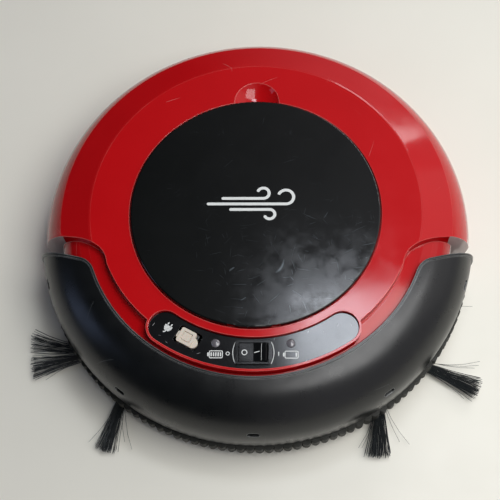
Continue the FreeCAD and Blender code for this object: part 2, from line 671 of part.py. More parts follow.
def make_wheel(z):
    x_in = -WHEEL_X + WHEEL_W / 2
    x_out = -WHEEL_X - WHEEL_W / 2
    rim_r = WHEEL_R - 4.5
    rim = cyl_x(rim_r, x_out + 1, x_in - 1, WHEEL_Y, z)
    rim = rim.cut(cyl_x(rim_r - 2.2, x_out, x_out + 5, WHEEL_Y, z))
    rim = rim.cut(cyl_x(rim_r - 2.2, x_in - 4.5, x_in, WHEEL_Y, z))
    hub = cyl_x(6.5, x_out + 2.5, x_in - 0.6, WHEEL_Y, z)
    spokes = [turn(box(x_out + 3, x_in - 1.5, WHEEL_Y + 5, WHEEL_Y + rim_r - 1, z - 1, z + 1),
                   i * 60, V(0, WHEEL_Y, z), X_AXIS) for i in range(6)]
    rim = fused([rim, hub] + spokes).cut(cyl_x(3.0, -99, -60, WHEEL_Y, z))
    both("wheel_rim", rim)
    tyre = cyl_x(WHEEL_R, x_out, x_in, WHEEL_Y, z)
    tyre = tyre.makeFillet(1.2, [e for e in tyre.Edges if e.Closed])
    tyre = tyre.cut(cyl_x(rim_r, x_out - 1, x_in + 1, WHEEL_Y, z))
    lugs = 28
    grooves = []
    for i in range(lugs):
        groove = box(x_out - 1, x_in + 1, WHEEL_Y - 1.0, WHEEL_Y + 1.0, z + WHEEL_R - 1.2, z + 40)
        grooves.append(turn(groove, (i + 0.5) * 360 / lugs, V(0, WHEEL_Y, z), X_AXIS))
    both("tyre", tyre.cut(Part.makeCompound(grooves)))


# ---- side brushes ----
def make_brush(side, name, phase):
    x, y = side * BRUSH_X, BRUSH_Y
    hub = turned([(0, 3.6), (5.5, 3.6), (HUB_R, 5.4), (HUB_R, 7.2), (5.5, 8.6), (0, 8.6)])
    arms = []
    tufts = []
    for i in range(TUFTS):
        angle = phase + i * 360 / TUFTS
        arms.append(turn(box(6, 15, -2.3, 2.3, 4.2, 7.4), angle))
        tuft = [(15.05, -1.9, 3.6), (15.05, 1.9, 3.6), (BRUSH_REACH - 1.2, 6.2, 3.6),
                (BRUSH_REACH, 0, 3.6), (BRUSH_REACH - 1.2, -6.2, 3.6)]
        outline = [line(tuft[k], tuft[(k + 1) % 5]) for k in range(5)]
        solid = Part.Face(Part.Wire(outline)).extrude(V(0, 0, 3.2))
        tufts.append(turn(solid, angle))
    hub = fused([hub] + arms).cut(cyl(2.5, 5.6, 10)).cut(cyl(3.0, 3, 5.0)).cut(cyl(1.3, 3, 6))
    shaft = cyl(2.5, 5.6, 26).cut(cyl(1.2, 5, 14))
    screw = cyl(2.8, 3.7, 5.0).fuse(cyl(1.2, 4.8, 13))
    screw = screw.cut(box(-1.8, 1.8, -0.35, 0.35, 3, 4.3)).cut(box(-0.35, 0.35, -1.8, 1.8, 3, 4.3))
    pieces = {"brush_hub": hub, "brush_bristles": group(tufts), "brush_shaft": shaft,
              "brush_screw": screw}
    for piece, shape in pieces.items():
        shape.translate(V(x, y, 0))
        save(name + "_" + piece, shape)
    motor = rounded_box(x - 13, x + 13, y - 13, y + 13, 16, 34, 3)
    motor = motor.fuse(cyl(8, 34, 47, x + side * 3, y + 2))
    save(name + "_brush_gear_motor", motor.cut(cyl(2.5 + RUN, 15, 27, x, y)))


# ---- front caster ----
def make_caster():
    y = CASTER_Y + CASTER_TRAIL
    disc = cyl(12.0, 15.2, 17.4, 0, CASTER_Y)
    stem = cyl(4.0, 17.4, 32.5, 0, CASTER_Y)
    arms = []
    for side in (-1, 1):
        x0, x1 = sorted((side * 5.3, side * 7.2))
        leg = box(x0, x1, y - 4, y + 4, CASTER_R, 15.4)
        arms.append(leg.fuse(cyl_x(4.0, x0, x1, y, CASTER_R)))
    fork = fused([disc, stem] + arms)
    fork = fork.cut(cyl_x(CASTER_R + 0.6, -4.95, 4.95, y, CASTER_R))
    fork = fork.cut(cyl_x(1.2 + RUN, -8, 8, y, CASTER_R))
    save("caster_fork", fork)
    half = CASTER_W / 2
    wheel = cyl_x(CASTER_R, -half, half, y, CASTER_R)
    wheel = wheel.makeFillet(1.4, [e for e in wheel.Edges if e.Closed])
    save("caster_wheel", wheel.cut(cyl_x(1.2, -9, 9, y, CASTER_R)))
    save("caster_axle", cyl_x(1.2, -7.6, 7.6, y, CASTER_R))


make_top_shell()
make_chassis()
make_chassis_details()
make_bin()
make_fan()
make_panel()
make_switch()
make_socket()
make_board()
make_lid()
make_bumper()
make_drive()
make_brush(-1, "left", LEFT_TUFT_PHASE)
make_brush(1, "right", RIGHT_TUFT_PHASE)
make_caster()
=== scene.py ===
import json
import math
import random

import bmesh
import bpy
from mathutils import Matrix, Vector


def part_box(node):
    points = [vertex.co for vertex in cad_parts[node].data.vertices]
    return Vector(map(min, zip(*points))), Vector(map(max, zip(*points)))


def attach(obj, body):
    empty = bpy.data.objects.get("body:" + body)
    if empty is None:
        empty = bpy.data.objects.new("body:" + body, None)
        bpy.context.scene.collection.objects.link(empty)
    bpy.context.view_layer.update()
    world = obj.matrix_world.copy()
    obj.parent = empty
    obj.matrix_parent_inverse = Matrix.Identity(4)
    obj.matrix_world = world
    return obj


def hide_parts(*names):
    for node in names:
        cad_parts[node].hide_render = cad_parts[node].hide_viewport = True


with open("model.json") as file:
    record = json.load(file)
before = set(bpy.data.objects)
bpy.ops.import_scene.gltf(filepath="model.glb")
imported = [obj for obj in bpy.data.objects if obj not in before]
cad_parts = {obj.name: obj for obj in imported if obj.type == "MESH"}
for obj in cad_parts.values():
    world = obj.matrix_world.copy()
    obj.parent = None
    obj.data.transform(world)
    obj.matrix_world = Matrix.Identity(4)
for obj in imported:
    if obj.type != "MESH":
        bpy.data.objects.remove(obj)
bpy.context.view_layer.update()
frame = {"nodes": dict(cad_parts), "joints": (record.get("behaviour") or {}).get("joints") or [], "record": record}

MM = 0.001
UP = Vector((0, 0, 1))

# ---- sizes in millimetres that the frame doesn't state ----
INK = 0.03                    # printed marks stand this far above and below their face
BRUSH_REACH = 73.5            # tips of the longest bristles from the brush's axis
BRUSH_ROOT = 13.5             # bristles leave the hub's arms here
TUFTS = 6
TUFT_PHASE = {"left": 13.5, "right": 36.4}
FIBRES = 112                  # bristles in one tuft
CLUMPS = 9                    # the tuft's bristles gather into this many clumps
STRAYS = 4                    # bent bristles that have left their tuft
FIBRE_R = 0.19
FIBRE_STEPS = 6               # straight lengths in one bristle
# each tuft has taken its own set in use: lean in degrees, and how far it fans to either side
TUFT_SET = {"left": ((2, 5, 4), (0, 4, 6), (-2, 5, 4), (-1, 19, 4.5), (0, 5, 5), (1, 4, 5)),
            "right": ((-2, 4, 5), (1, 5, 4), (0, 5, 5), (2, 4, 6), (-5.5, 4, 4.5), (0, 4.5, 4.5))}
ROCKER_TILT = 16.0            # degrees, the raised half of the paddle
ROCKER_FACE = 1.9             # the paddle's flat half above its pivot
END_X = 119.5                 # the shell's end walls lie further out than this
END_Y = -11.5                 # and ahead of this
END_TILT = 0.35               # and their normals rise less than this
EDGE_HIGHLIGHT_R = 0.8             # radius of the pale highlight painted along an edge
PLUG_SIGN = (-11.6, 6.4)      # from the charging socket to the plug sign
BATTERY_DROP = 6.8            # from the lamps forward to the battery signs
BRACKET_R = 14.4              # the bow printed at each end of the switch
BRACKET_HALF = 27             # degrees, half of the bow
random.seed(4)


# ---- colour and nodes ----
def linear(code):
    """sRGB hex to linear RGBA."""
    out = []
    for k in (1, 3, 5):
        c = int(code[k:k + 2], 16) / 255
        out.append(c / 12.92 if c <= 0.04045 else ((c + 0.055) / 1.055) ** 2.4)
    return (*out, 1.0)


def add(tree, kind, settings, links=None):
    """Adds one node: settings go to its properties or unlinked sockets, links to its sockets."""
    node = tree.nodes.new("ShaderNode" + kind)
    for name, value in settings.items():
        if isinstance(name, str) and hasattr(node, name):
            setattr(node, name, value)
        else:
            node.inputs[name].default_value = value
    for name, source in (links or {}).items():
        tree.links.new(source, node.inputs[name])
    return node


def start(name, sockets):
    """A new material with its shader, and the place on the part that patterns follow."""
    material = bpy.data.materials.new(name)
    material.use_nodes = True
    tree = material.node_tree
    tree.nodes.clear()
    shader = add(tree, "BsdfPrincipled", sockets)
    add(tree, "OutputMaterial", {}, {"Surface": shader.outputs[0]})
    place = add(tree, "TexCoord", {}).outputs["Object"]
    return material, tree, shader, place


def mottle(tree, place, size, dark, light):
    """Cloudy change between two colours, with clouds about size millimetres across."""
    cloud = add(tree, "TexNoise", {"Scale": 1 / (size * MM), "Detail": 3.0, "Roughness": 0.6},
                {"Vector": place})
    return add(tree, "Mix", {"data_type": "RGBA", 6: linear(dark), 7: linear(light)},
               {0: cloud.outputs[0]}).outputs[2]


def uneven(tree, place, size, low, high):
    """A value that wanders between low and high over clouds of size millimetres."""
    cloud = add(tree, "TexNoise", {"Scale": 1 / (size * MM), "Detail": 4.0, "Roughness": 0.65},
                {"Vector": place})
    return add(tree, "MapRange", {"From Min": 0.36, "From Max": 0.66, "To Min": low, "To Max": high},
               {"Value": cloud.outputs[0]}).outputs[0]


def hairlines(tree, place, cell, width, share):
    """Mask of short, slightly bowed scratches: one in each chosen cell, turned its own way."""
    cells = add(tree, "TexVoronoi", {"Scale": 1 / (cell * MM)}, {"Vector": place})
    away = add(tree, "VectorMath", {"operation": "SUBTRACT"},
               {0: place, 1: cells.outputs["Position"]})
    spin = add(tree, "VectorMath", {"operation": "SCALE", "Scale": 2 * math.pi},
               {0: cells.outputs["Color"]})
    turned = add(tree, "VectorRotate", {"rotation_type": "EULER_XYZ"},
                 {"Vector": away.outputs[0], "Rotation": spin.outputs[0]})
    axes = add(tree, "SeparateXYZ", {}, {0: turned.outputs[0]})
    square = add(tree, "Math", {"operation": "MULTIPLY"}, {0: axes.outputs[0], 1: axes.outputs[0]})
    bow = add(tree, "Math", {"operation": "MULTIPLY_ADD", 1: 5.0},
              {0: square.outputs[0], 2: axes.outputs[1]})
    aside = add(tree, "Math", {"operation": "ABSOLUTE"}, {0: bow.outputs[0]})
    line = add(tree, "MapRange", {"From Max": width * MM, "To Min": 1.0, "To Max": 0.0},
               {"Value": aside.outputs[0]})
    reach = add(tree, "MapRange", {"From Min": 0.25, "From Max": 0.6, "To Min": 1.0, "To Max": 0.0},
                {"Value": cells.outputs["Distance"]})
    dice = add(tree, "SeparateColor", {}, {0: cells.outputs["Color"]})
    chosen = add(tree, "Math", {"operation": "LESS_THAN", 1: share}, {0: dice.outputs[1]})
    part = add(tree, "Math", {"operation": "MULTIPLY"}, {0: line.outputs[0], 1: reach.outputs[0]})
    return add(tree, "Math", {"operation": "MULTIPLY"},
               {0: part.outputs[0], 1: chosen.outputs[0]}).outputs[0]


def relief(tree, shader, height, depth, edge):
    """Surface relief of depth millimetres over edges rounded to edge millimetres."""
    rounded = add(tree, "Bevel", {"samples": 4, "Radius": edge * MM})
    bumped = add(tree, "Bump", {"Strength": 0.7, "Distance": depth * MM},
                 {"Height": height, "Normal": rounded.outputs[0]})
    tree.links.new(bumped.outputs[0], shader.inputs["Normal"])
    tree.links.new(rounded.outputs[0], shader.inputs["Coat Normal"])


def moulded(name, colours, rough, grain, depth, edge=0.3, sockets=None):
    """Moulded plastic or rubber: cloudy colour, uneven gloss and a fine tool texture."""
    material, tree, shader, place = start(name, {"IOR": 1.53, **(sockets or {})})
    tree.links.new(mottle(tree, place, 18, *colours), shader.inputs["Base Color"])
    tree.links.new(uneven(tree, place, 9, *rough), shader.inputs["Roughness"])
    texture = add(tree, "TexNoise", {"Scale": 1 / (grain * MM), "Detail": 2.0}, {"Vector": place})
    relief(tree, shader, texture.outputs[0], depth, edge)
    return material


# ---- materials of the outer pieces ----
def painted_end_reflection(tree, place):
    """Mask of the shell's two upright end walls beside the bumper, painted pale as a reflection of the floor."""
    spot = add(tree, "SeparateXYZ", {}, {0: place})
    out = add(tree, "Math", {"operation": "ABSOLUTE"}, {0: spot.outputs[0]})
    far = add(tree, "Math", {"operation": "GREATER_THAN", 1: END_X * MM}, {0: out.outputs[0]})
    ahead = add(tree, "Math", {"operation": "LESS_THAN", 1: END_Y * MM}, {0: spot.outputs[1]})
    facing = add(tree, "SeparateXYZ", {},
                 {0: add(tree, "TexCoord", {}).outputs["Normal"]})
    upright = add(tree, "Math", {"operation": "LESS_THAN", 1: END_TILT}, {0: facing.outputs[2]})
    both = add(tree, "Math", {"operation": "MULTIPLY"}, {0: far.outputs[0], 1: ahead.outputs[0]})
    return add(tree, "Math", {"operation": "MULTIPLY"},
               {0: both.outputs[0], 1: upright.outputs[0]}).outputs[0]


def edges(tree, place):
    """Mask of the moulding's edges, where a pale highlight line is painted, more in some places."""
    rounded = add(tree, "Bevel", {"samples": 6, "Radius": EDGE_HIGHLIGHT_R * MM})
    face = add(tree, "NewGeometry", {})
    agree = add(tree, "VectorMath", {"operation": "DOT_PRODUCT"},
                {0: rounded.outputs[0], 1: face.outputs["Normal"]})
    turned = add(tree, "MapRange", {"From Min": 0.9985, "From Max": 0.985},
                 {"Value": agree.outputs["Value"]})
    return add(tree, "Math", {"operation": "MULTIPLY"},
               {0: turned.outputs[0], 1: uneven(tree, place, 50, 0.1, 0.5)}).outputs[0]


def polished_red_abs():
    """Red ABS from a polished mould: deep wet red, soft orange peel, pale handling scratches."""
    material, tree, shader, place = start("polished_red_abs", {
        "IOR": 1.52, "Specular IOR Level": 0.38})
    paint = mottle(tree, place, 45, "#AE0A0F", "#BA0C12")
    # hairlines are about 0.03 mm wide in truth, drawn at 0.11 mm so that they show
    marks = hairlines(tree, place, 13, 0.11, 0.1)
    patches = uneven(tree, place, 40, 0.0, 0.8)
    worn = add(tree, "Math", {"operation": "MULTIPLY"}, {0: marks, 1: patches}).outputs[0]
    rubbed = add(tree, "Mix", {"data_type": "RGBA", 7: linear("#E2A09C")}, {0: worn, 6: paint})
    # painted highlight: the edges are painted pale pink, as if they glinted in a light
    bright = add(tree, "Mix", {"data_type": "RGBA", 7: linear("#E88A84")},
                 {0: edges(tree, place), 6: rubbed.outputs[2]})
    # painted reflection: the upright end walls are painted pale pinkish grey, as the floor would look reflected in
    # them at a grazing angle
    colour = add(tree, "Mix", {"data_type": "RGBA", 7: linear("#C4B0AC")},
                 {0: painted_end_reflection(tree, place), 6: bright.outputs[2]})
    tree.links.new(colour.outputs[2], shader.inputs["Base Color"])
    tree.links.new(uneven(tree, place, 22, 0.07, 0.15), shader.inputs["Roughness"])
    peel = add(tree, "TexNoise", {"Scale": 1 / (7 * MM), "Detail": 1.0}, {"Vector": place})
    relief(tree, shader, peel.outputs[0], 0.012, 0.55)
    return material


def lid_acrylic():
    """Polished near-black acrylic that has been handled: deep gloss, grease haze, scratches."""
    material, tree, shader, place = start("lid_acrylic", {
        "IOR": 1.49, "Specular IOR Level": 0.05, "Coat Weight": 1.0, "Coat IOR": 1.52})
    sheet = mottle(tree, place, 60, "#030504", "#060807")
    # hands rest on the front right of the lid and leave it hazy and scratched
    spot = add(tree, "VectorMath", {"operation": "DISTANCE", 1: (0.038, -0.062, 0.07)}, {0: place})
    held = add(tree, "MapRange", {"interpolation_type": "SMOOTHSTEP", "From Min": 0.015,
                                  "From Max": 0.085, "To Min": 1.0, "To Max": 0.0},
               {"Value": spot.outputs["Value"]}).outputs[0]
    # hairlines are about 0.03 mm wide in truth, drawn at 0.06 to 0.07 mm so that they show
    long_marks = hairlines(tree, place, 9, 0.07, 0.6)
    short_marks = hairlines(tree, place, 4.5, 0.06, 0.4)
    both = add(tree, "Math", {"operation": "MAXIMUM"}, {0: long_marks, 1: short_marks}).outputs[0]
    patches = add(tree, "Math", {"operation": "MULTIPLY_ADD", 1: 0.45},
                  {0: held, 2: uneven(tree, place, 38, -0.12, 0.14)}).outputs[0]
    worn = add(tree, "Math", {"operation": "MULTIPLY", "use_clamp": True},
               {0: both, 1: patches}).outputs[0]
    grease = add(tree, "Math", {"operation": "MULTIPLY"},
                 {0: held, 1: uneven(tree, place, 11, 0.15, 1.0)}).outputs[0]
    gloss = add(tree, "MapRange", {"To Min": 0.07, "To Max": 0.26}, {"Value": grease}).outputs[0]
    tree.links.new(gloss, shader.inputs["Coat Roughness"])
    colour = add(tree, "Mix", {"data_type": "RGBA", 7: linear("#8E9AA2")}, {0: worn, 6: sheet})
    tree.links.new(colour.outputs[2], shader.inputs["Base Color"])
    tree.links.new(uneven(tree, place, 30, 0.3, 0.46), shader.inputs["Roughness"])
    wave = add(tree, "TexNoise", {"Scale": 1 / (35 * MM), "Detail": 0.0}, {"Vector": place})
    relief(tree, shader, wave.outputs[0], 0.03, 0.35)
    return material


def panel_acrylic():
    """Piano-black acrylic strip: near-mirror gloss over black, with flecks of dust."""
    material, tree, shader, place = start("panel_acrylic", {
        "IOR": 1.49, "Specular IOR Level": 0.1, "Coat Weight": 1.0, "Coat Roughness": 0.12,
        "Coat IOR": 1.49})
    sheet = mottle(tree, place, 30, "#060708", "#0B0C0E")
    dust = hairlines(tree, place, 2.2, 0.14, 0.035)
    colour = add(tree, "Mix", {"data_type": "RGBA", 7: linear("#A9AAAC")}, {0: dust, 6: sheet})
    tree.links.new(colour.outputs[2], shader.inputs["Base Color"])
    tree.links.new(uneven(tree, place, 14, 0.12, 0.3), shader.inputs["Roughness"])
    wave = add(tree, "TexNoise", {"Scale": 1 / (25 * MM), "Detail": 0.0}, {"Vector": place})
    relief(tree, shader, wave.outputs[0], 0.02, 0.3)
    return material


def satin_black_abs():
    """Black ABS, fine spark-eroded texture: soft sheen fading to black, a pale highlight painted on its edges."""
    material, tree, shader, place = start("satin_black_abs", {"IOR": 1.5})
    skin = mottle(tree, place, 26, "#090B0C", "#0E1011")
    marks = hairlines(tree, place, 16, 0.12, 0.05)
    marked = add(tree, "Mix", {"data_type": "RGBA", 7: linear("#5A5E60")}, {0: marks, 6: skin})
    # painted highlight: the edges are painted pale grey, as if they glinted in a light
    colour = add(tree, "Mix", {"data_type": "RGBA", 7: linear("#A3A7A6")},
                 {0: edges(tree, place), 6: marked.outputs[2]})
    tree.links.new(colour.outputs[2], shader.inputs["Base Color"])
    tree.links.new(uneven(tree, place, 12, 0.27, 0.33), shader.inputs["Roughness"])
    # the erosion grain is about 0.05 mm across, drawn at 0.5 mm
    grain = add(tree, "TexNoise", {"Scale": 1 / (0.5 * MM), "Detail": 2.0}, {"Vector": place})
    relief(tree, shader, grain.outputs[0], 0.012, 0.35)
    return material


def extruded_nylon():
    """Black nylon filament: slightly glossy, with greyer worn lengths."""
    material, tree, shader, place = start("extruded_nylon", {"IOR": 1.53})
    tree.links.new(mottle(tree, place, 1.2, "#08090A", "#34393B"), shader.inputs["Base Color"])
    tree.links.new(uneven(tree, place, 5, 0.32, 0.5), shader.inputs["Roughness"])
    return material


def metal(name, colours, rough, edge, stretch):
    """Turned or drawn metal: fine tool lines along one axis and an uneven shine."""
    material, tree, shader, place = start(name, {"Metallic": 1.0})
    tree.links.new(mottle(tree, place, 6, *colours), shader.inputs["Base Color"])
    lines = add(tree, "Mapping", {"Scale": stretch}, {"Vector": place})
    # tool lines of 0.02 mm drawn at 0.15 mm
    cuts = add(tree, "TexNoise", {"Scale": 1 / (0.15 * MM), "Detail": 2.0},
               {"Vector": lines.outputs[0]})
    spread = add(tree, "MapRange", {"To Min": rough[0], "To Max": rough[1]},
                 {"Value": cuts.outputs[0]})
    tree.links.new(spread.outputs[0], shader.inputs["Roughness"])
    relief(tree, shader, cuts.outputs[0], 0.004, edge)
    return material


def pleated_paper():
    """Filter paper: matt off-white with loose fibres."""
    material, tree, shader, place = start("pleated_paper", {"IOR": 1.5, "Sheen Weight": 0.2})
    tree.links.new(mottle(tree, place, 2, "#CFCAC0", "#EAE7DF"), shader.inputs["Base Color"])
    tree.links.new(uneven(tree, place, 3, 0.85, 0.95), shader.inputs["Roughness"])
    fibres = add(tree, "TexNoise", {"Scale": 1 / (0.4 * MM), "Detail": 5.0}, {"Vector": place})
    relief(tree, shader, fibres.outputs[0], 0.06, 0.1)
    return material


def circuit_board():
    """Solder-masked glass fibre: green lacquer over the weave, with lighter copper tracks."""
    material, tree, shader, place = start("circuit_board", {"IOR": 1.5})
    tracks = add(tree, "TexBrick", {"Scale": 1 / (6 * MM), "Mortar Size": 0.04,
                                    "Color1": linear("#134A2C"), "Color2": linear("#164F31"),
                                    "Mortar": linear("#2E8A57")}, {"Vector": place})
    tree.links.new(tracks.outputs[0], shader.inputs["Base Color"])
    tree.links.new(uneven(tree, place, 6, 0.25, 0.4), shader.inputs["Roughness"])
    relief(tree, shader, tracks.outputs[1], 0.03, 0.1)
    return material


def matt_floor():
    """Painted table top: pale warm grey in faint broad clouds, and slightly glossy."""
    material, tree, shader, place = start("painted_floor", {"IOR": 1.5})
    tree.links.new(mottle(tree, place, 90, "#E6E4D8", "#ECEADE"), shader.inputs["Base Color"])
    tree.links.new(uneven(tree, place, 60, 0.42, 0.55), shader.inputs["Roughness"])
    return material


FINISHES = {
    "red_shell": polished_red_abs(),
    "black_satin": satin_black_abs(),
    "black_gloss": lid_acrylic(),
    # chassis: black ABS with a coarse spark texture, dull and slightly grey
    "black_base": moulded("textured_black_abs", ("#131415", "#1C1D1E"), (0.5, 0.62), 0.7, 0.03),
    # strip: moulded thermoplastic rubber, dull olive-black with a dusty bloom
    "strip_rubber": moulded("moulded_rubber", ("#171813", "#2A2B24"), (0.55, 0.75), 0.6, 0.03, 0.4),
    # tyres: soft rubber, matt, with floor dust in its texture
    "tyre_rubber": moulded("tyre_rubber", ("#141514", "#2C2C2A"), (0.7, 0.85), 0.5, 0.05, 0.5),
    "bristle_nylon": extruded_nylon(),
    # dust plug: matt ivory ABS, slightly waxy
    "ivory_plastic": moulded("matt_ivory_abs", ("#C3B8A8", "#D3C9BA"), (0.42, 0.55), 0.5, 0.015,
                             0.25, {"Subsurface Weight": 0.08, "Subsurface Scale": 0.001}),
    # lamps: smoked acrylic domes with a wet shine
    "lamp_lens": moulded("smoked_acrylic", ("#4B494C", "#77747A"), (0.08, 0.2), 2.0, 0.01, 0.2,
                         {"Coat Weight": 0.8, "Coat Roughness": 0.05}),
    # sensor windows: infrared-pass acrylic, almost black and glossy
    "sensor_window": moulded("infrared_acrylic", ("#050506", "#0B0B0E"), (0.06, 0.16), 3.0, 0.005,
                             0.2, {"Coat Weight": 0.5, "Coat Roughness": 0.04}),
    # bin: smoked polycarbonate, scuffed by dust on the inside
    "bin_clear": moulded("smoked_polycarbonate", ("#3F454B", "#59616A"), (0.18, 0.4), 0.9, 0.02,
                         0.4, {"Transmission Weight": 0.35}),
    "filter_paper": pleated_paper(),
    # pins and screws: zinc-plated steel with fine turning lines
    "steel": metal("zinc_plated_steel", ("#A7A9AC", "#C9CBCC"), (0.22, 0.42), 0.12, (1, 8, 8)),
    # pinions: hobbed brass, bright yellow with tool lines
    "brass_gear": metal("hobbed_brass", ("#A5853F", "#C9A961"), (0.2, 0.4), 0.08, (8, 1, 1)),
    # gears: white acetal, milky and slightly greasy
    "gear_nylon": moulded("moulded_acetal", ("#D2CFC4", "#E6E3DA"), (0.35, 0.5), 0.8, 0.01, 0.15,
                          {"Subsurface Weight": 0.15, "Subsurface Scale": 0.002}),
    "board_green": circuit_board(),
    # cells: glossy shrink sleeve, drawn tight with faint wrinkles
    "cell_sleeve": moulded("shrink_sleeve", ("#28618A", "#3575A6"), (0.15, 0.3), 3.5, 0.06, 0.3),
    # fan housing and motors' cases: plain grey moulding
    "grey_plastic": moulded("moulded_grey_abs", ("#4A4D50", "#5C5F62"), (0.45, 0.58), 0.7, 0.02),
}
PANEL_FINISH = panel_acrylic()
# switch: black nylon with a polished face
SWITCH_FINISH = moulded("polished_nylon", ("#08090A", "#0E0F10"), (0.16, 0.26), 1.2, 0.008, 0.25)
# marks: pad-printed light grey ink, matt with thin spots
INK_FINISH = moulded("pad_printed_ink", ("#C6CAC8", "#E2E4E1"), (0.5, 0.7), 0.6, 0.004, 0.02)


def dress_frame():
    """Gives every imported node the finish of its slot."""
    slots = {row["node"]: row["material_slot"] for row in frame["record"]["subparts"]}
    for name, node in frame["nodes"].items():
        finish = FINISHES[slots[name]]
        if name == "control_panel":
            finish = PANEL_FINISH
        if name in ("rocker_paddle", "rocker_housing"):
            finish = SWITCH_FINISH
        for place in node.material_slots:
            place.material = finish


def piece(name, mesh, body, finish):
    """A visible piece from a bmesh, riding on a body."""
    data = bpy.data.meshes.new(name)
    mesh.normal_update()
    mesh.to_mesh(data)
    mesh.free()
    data.materials.append(finish)
    obj = bpy.data.objects.new(name, data)
    bpy.context.scene.collection.objects.link(obj)
    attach(obj, body)
    return obj


# ---- printed marks ----
def strip(mesh, stations, closed=False):
    """Thin closed solid along stations of (middle, sideways vector to its edge)."""
    rows = []
    for middle, side in stations:
        corners = [middle - side - UP * INK * MM, middle + side - UP * INK * MM,
                   middle + side + UP * INK * MM, middle - side + UP * INK * MM]
        rows.append([mesh.verts.new(c) for c in corners])
    pairs = list(zip(rows, rows[1:]))
    if closed:
        pairs.append((rows[-1], rows[0]))
    for a, b in pairs:
        for k in range(4):
            j = (k + 1) % 4
            mesh.faces.new((a[k], a[j], b[j], b[k]))
    if not closed:
        mesh.faces.new(rows[0][::-1])
        mesh.faces.new(rows[-1])


def stroke(mesh, path, width, height, closed=False, round_ends=True):
    """A pen stroke along path, in millimetres; height gives the face's z at a place."""
    points = [Vector((x, y, 0)) for x, y in path]
    count = len(points)
    stations = []
    for i, point in enumerate(points):
        before = points[i - 1] if (i > 0 or closed) else point
        after = points[(i + 1) % count] if (i < count - 1 or closed) else point
        along = (after - before).normalized()
        stations.append((point, along, width / 2))
    if round_ends and not closed:
        for end, sign in ((0, -1), (-1, 1)):
            point, along, half = stations[end]
            caps = [(point + along * sign * half * math.cos(a), along, half * math.sin(a))
                    for a in (math.radians(20), math.radians(52))]
            stations = caps + stations if end == 0 else stations + caps[::-1]
    solid = []
    for point, along, half in stations:
        side = Vector((-along.y, along.x, 0)) * half
        middle = Vector((point.x, point.y, height(point.x, point.y)))
        solid.append((middle * MM, side * MM))
    strip(mesh, solid, closed)


def bow(cx, cy, r, start_deg, end_deg, steps=20):
    """Points on an arc, in millimetres."""
    out = []
    for i in range(steps + 1):
        a = math.radians(start_deg + (end_deg - start_deg) * i / steps)
        out.append((cx + r * math.cos(a), cy + r * math.sin(a)))
    return out


def ring(mesh, cx, cy, r, width, height):
    """A closed round stroke."""
    stroke(mesh, bow(cx, cy, r, 0, 360, 32)[:-1], width, height, closed=True)


def middle_of(node):
    """The middle of a node's box, in millimetres."""
    lo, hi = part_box(node)
    return (lo + hi) / 2 / MM


def lid_mark():
    """Three curling lines of moving air, printed in the middle of the lid."""
    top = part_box("lid")[1].z / MM
    mesh = bmesh.new()
    cy = 0.6
    lines = [(-20, 5, 3.4, 3.6, 1), (-29, 19, -0.4, 4.8, 1), (-15, 9, -4.2, 3.2, -1)]
    for x0, x1, y, r, way in lines:
        curl = bow(x1, cy + y + way * r, r, -90 * way, 150 * way)
        run = [(x0 + (x1 - x0) * i / 6, cy + y) for i in range(6)]
        stroke(mesh, run + curl, 1.9, lambda x, y: top)
    piece("lid_printed_mark", mesh, "lid", INK_FINISH)


def battery(mesh, cx, cy, bars, height):
    """Battery sign 9 mm long: outline, terminal to the left, charge bars from the right."""
    half_w, half_h, r = 3.8, 2.1, 0.7
    outline = []
    for sx, sy, a in ((1, 1, 0), (-1, 1, 90), (-1, -1, 180), (1, -1, 270)):
        outline += bow(cx + sx * (half_w - r), cy + sy * (half_h - r), r, a, a + 90, 4)
    stroke(mesh, outline, 0.5, height, closed=True)
    stroke(mesh, [(cx - half_w - 0.8, cy - 0.8), (cx - half_w - 0.8, cy + 0.8)], 0.8, height)
    for i in range(bars):
        x = cx + 2.7 - i * 1.35
        stroke(mesh, [(x, cy - 1.2), (x, cy + 1.2)], 0.75, height, round_ends=False)


def plug_sign(mesh, cx, cy, turn, height):
    """Mains plug sign: half-round body, two prongs and a bent lead."""
    c, s = math.cos(math.radians(turn)), math.sin(math.radians(turn))

    def put(points):
        return [(cx + x * c - y * s, cy + x * s + y * c) for x, y in points]

    for i in range(6):
        y = 0.9 - i * 0.55
        half = math.sqrt(max(0.1, 1 - (i / 6) ** 2)) * 2.2
        stroke(mesh, put([(-half, y), (half, y)]), 0.62, height)
    for x in (-1.1, 1.1):
        stroke(mesh, put([(x, 1.1), (x, 2.7)]), 0.7, height)
    stroke(mesh, put([(0, -2.2), (-0.2, -3.0), (-0.9, -3.5)]), 0.7, height)


def panel_marks():
    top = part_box("control_panel")[1].z / MM
    lamps_lo, lamps_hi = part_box("led_lenses")
    lamp_x = lamps_hi.x / MM - (lamps_hi.y - lamps_lo.y) / 2 / MM
    lamp_y = middle_of("led_lenses").y
    switch = middle_of("rocker_housing")
    jack = middle_of("charging_socket")

    def flat(x, y):
        return top

    mesh = bmesh.new()
    battery(mesh, -lamp_x + 0.3, lamp_y - BATTERY_DROP, 5, flat)
    battery(mesh, lamp_x + 0.5, lamp_y - BATTERY_DROP, 1, flat)
    plug_sign(mesh, jack.x + PLUG_SIGN[0], jack.y + PLUG_SIGN[1], -32, flat)
    bracket = bow(-2.4, 0, BRACKET_R, -BRACKET_HALF, BRACKET_HALF)
    for side in (-1, 1):
        stroke(mesh, [(switch.x + side * x, switch.y + y) for x, y in bracket], 0.4, flat)
    ring(mesh, switch.x - 14.9, switch.y - 0.6, 0.95, 0.45, flat)
    stroke(mesh, [(switch.x + 14.7, switch.y - 1.6), (switch.x + 14.7, switch.y + 0.4)], 0.5, flat)
    piece("panel_printed_signs", mesh, "base", INK_FINISH)


